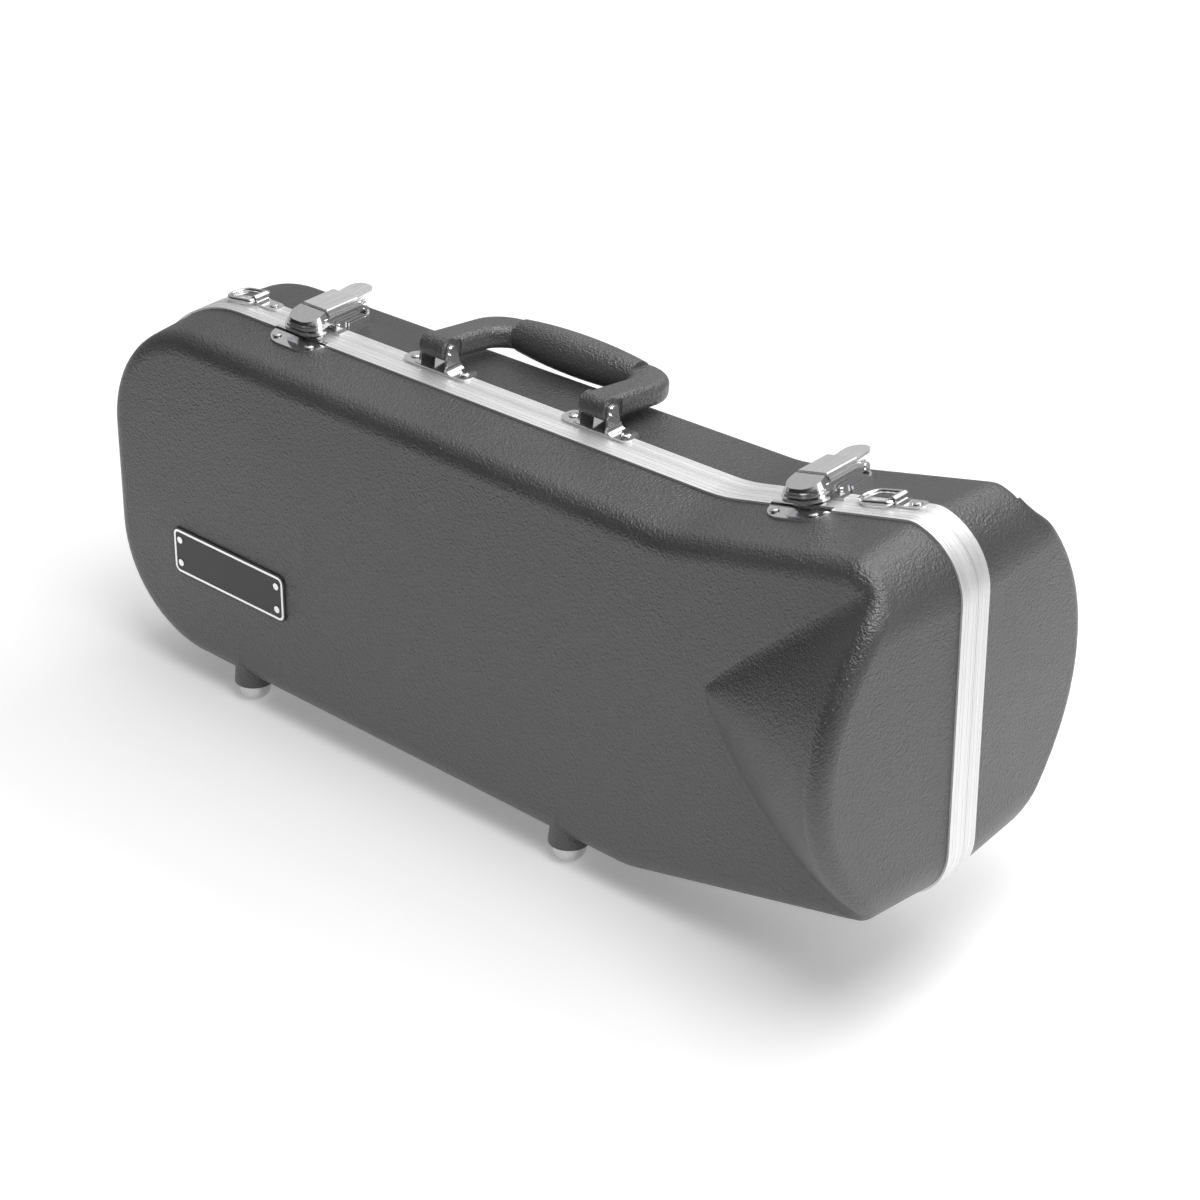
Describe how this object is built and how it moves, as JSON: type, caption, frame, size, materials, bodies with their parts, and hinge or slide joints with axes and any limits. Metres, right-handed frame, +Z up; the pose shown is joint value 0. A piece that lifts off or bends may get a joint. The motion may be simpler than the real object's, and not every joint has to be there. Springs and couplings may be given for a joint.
{
  "type": "trumpet case",
  "caption": "Hard shaped case for a trumpet: two moulded shells joined by an aluminium band, flared over the bell, with folding handle, draw latches, strap rings and feet.",
  "frame": {"origin": "middle of the case at floor level, under the plane where the two halves meet", "axes": "+X along the case to the bell end, +Y to the back half that carries the handle, +Z up"},
  "size_m": [0.578, 0.2142, 0.259],
  "materials": {
    "shell": "satin, fine leather grain",
    "band": "brushed, fine lines along the band",
    "chrome": "bright plated",
    "latch_steel": "satin nickel",
    "handle": "grained moulding",
    "plush": "short pile over foam",
    "compartment": "covered board",
    "cup_rubber": "matte",
    "foot_metal": "satin",
    "badge": "dark satin with a bright border line"
  },
  "bodies": {
    "body": {"back_feet": "foot_metal", "back_foot_screws": "chrome", "back_shell": "shell", "body_band": "band", "body_band_splice": "band", "body_hinge_leaves": "chrome", "body_liner_bell": "plush", "body_liner_bottom": "plush", "body_liner_end": "plush", "body_liner_middle": "plush", "body_liner_top": "plush", "compartment_box": "compartment", "compartment_knuckle": "compartment", "compartment_pin": "chrome", "handle_pins": "chrome", "handle_rivets": "chrome", "hinge_pins": "chrome", "latch_rivets": "chrome", "left_handle_bracket": "chrome", "left_latch_base": "chrome", "left_lever_pin": "chrome", "left_ring_clip": "chrome", "mouthpiece_cups": "cup_rubber", "right_handle_bracket": "chrome", "right_latch_base": "chrome", "right_lever_pin": "chrome", "right_ring_clip": "chrome", "ring_rivets": "chrome"},
    "lid": {"front_shell": "shell", "lid_band": "band", "lid_band_splice": "band", "left_keeper": "chrome", "right_keeper": "chrome", "keeper_rivets": "chrome", "lid_hinge_leaves": "chrome", "front_feet": "foot_metal", "front_foot_screws": "chrome", "badge_plate": "badge", "badge_border": "chrome", "badge_rivets": "chrome", "lid_liner_end": "plush", "lid_liner_top": "plush", "lid_liner_bottom": "plush", "lid_liner_middle": "plush", "lid_liner_bell": "plush"},
    "handle": {"handle_moulding": "handle", "handle_grip": "handle"},
    "left_lever": {"left_latch_lever": "latch_steel", "left_latch_cover": "latch_steel"},
    "left_claw": {"left_latch_claw": "chrome", "left_claw_pin": "chrome"},
    "right_lever": {"right_latch_lever": "latch_steel", "right_latch_cover": "latch_steel"},
    "right_claw": {"right_latch_claw": "chrome", "right_claw_pin": "chrome"},
    "left_ring": {"left_strap_ring": "chrome"},
    "right_ring": {"right_strap_ring": "chrome"},
    "compartment_flap": {"compartment_lid": "plush"}
  },
  "joints": [
    {"name": "lid_hinge", "type": "hinge", "parent": "body", "child": "lid", "pos_m": [0, 0, 0.0094], "axis": [1, 0, 0], "range_deg": [0, 100]},
    {"name": "handle_pivot", "type": "hinge", "parent": "body", "child": "handle", "pos_m": [-0.01772, 0.0065, 0.24063], "axis": [0.9999, 0, 0.0171], "range_deg": [0, 175]},
    {"name": "left_latch_lever_hinge", "type": "hinge", "parent": "body", "child": "left_lever", "pos_m": [-0.16158, 0.0032, 0.22977], "axis": [0.9999, 0, 0.0171], "range_deg": [0, 60]},
    {"name": "left_latch_claw_hinge", "type": "hinge", "parent": "left_lever", "child": "left_claw", "pos_m": [-0.16164, 0.0255, 0.23357], "axis": [0.9999, 0, 0.0171], "range_deg": [-60, 0]},
    {"name": "right_latch_lever_hinge", "type": "hinge", "parent": "body", "child": "right_lever", "pos_m": [0.18942, 0.0032, 0.24721], "axis": [0.972, 0, 0.2348], "range_deg": [0, 60]},
    {"name": "right_latch_claw_hinge", "type": "hinge", "parent": "right_lever", "child": "right_claw", "pos_m": [0.18853, 0.0255, 0.2509], "axis": [0.972, 0, 0.2348], "range_deg": [-60, 0]},
    {"name": "left_strap_ring_hinge", "type": "hinge", "parent": "body", "child": "left_ring", "pos_m": [-0.21305, 0.0046, 0.22705], "axis": [0, 1, 0], "range_deg": [0, 120]},
    {"name": "right_strap_ring_hinge", "type": "hinge", "parent": "body", "child": "right_ring", "pos_m": [0.23535, 0.0046, 0.2564], "axis": [0, 1, 0], "range_deg": [0, 120]},
    {"name": "compartment_flap_hinge", "type": "hinge", "parent": "body", "child": "compartment_flap", "pos_m": [-0.232, 0.0067, 0.113], "axis": [0, 0, 1], "range_deg": [0, 90]}
  ],
  "couplings": [
    {"joint": "left_latch_claw_hinge", "follows": "left_latch_lever_hinge", "ratio": -1},
    {"joint": "right_latch_claw_hinge", "follows": "right_latch_lever_hinge", "ratio": -1}
  ]
}
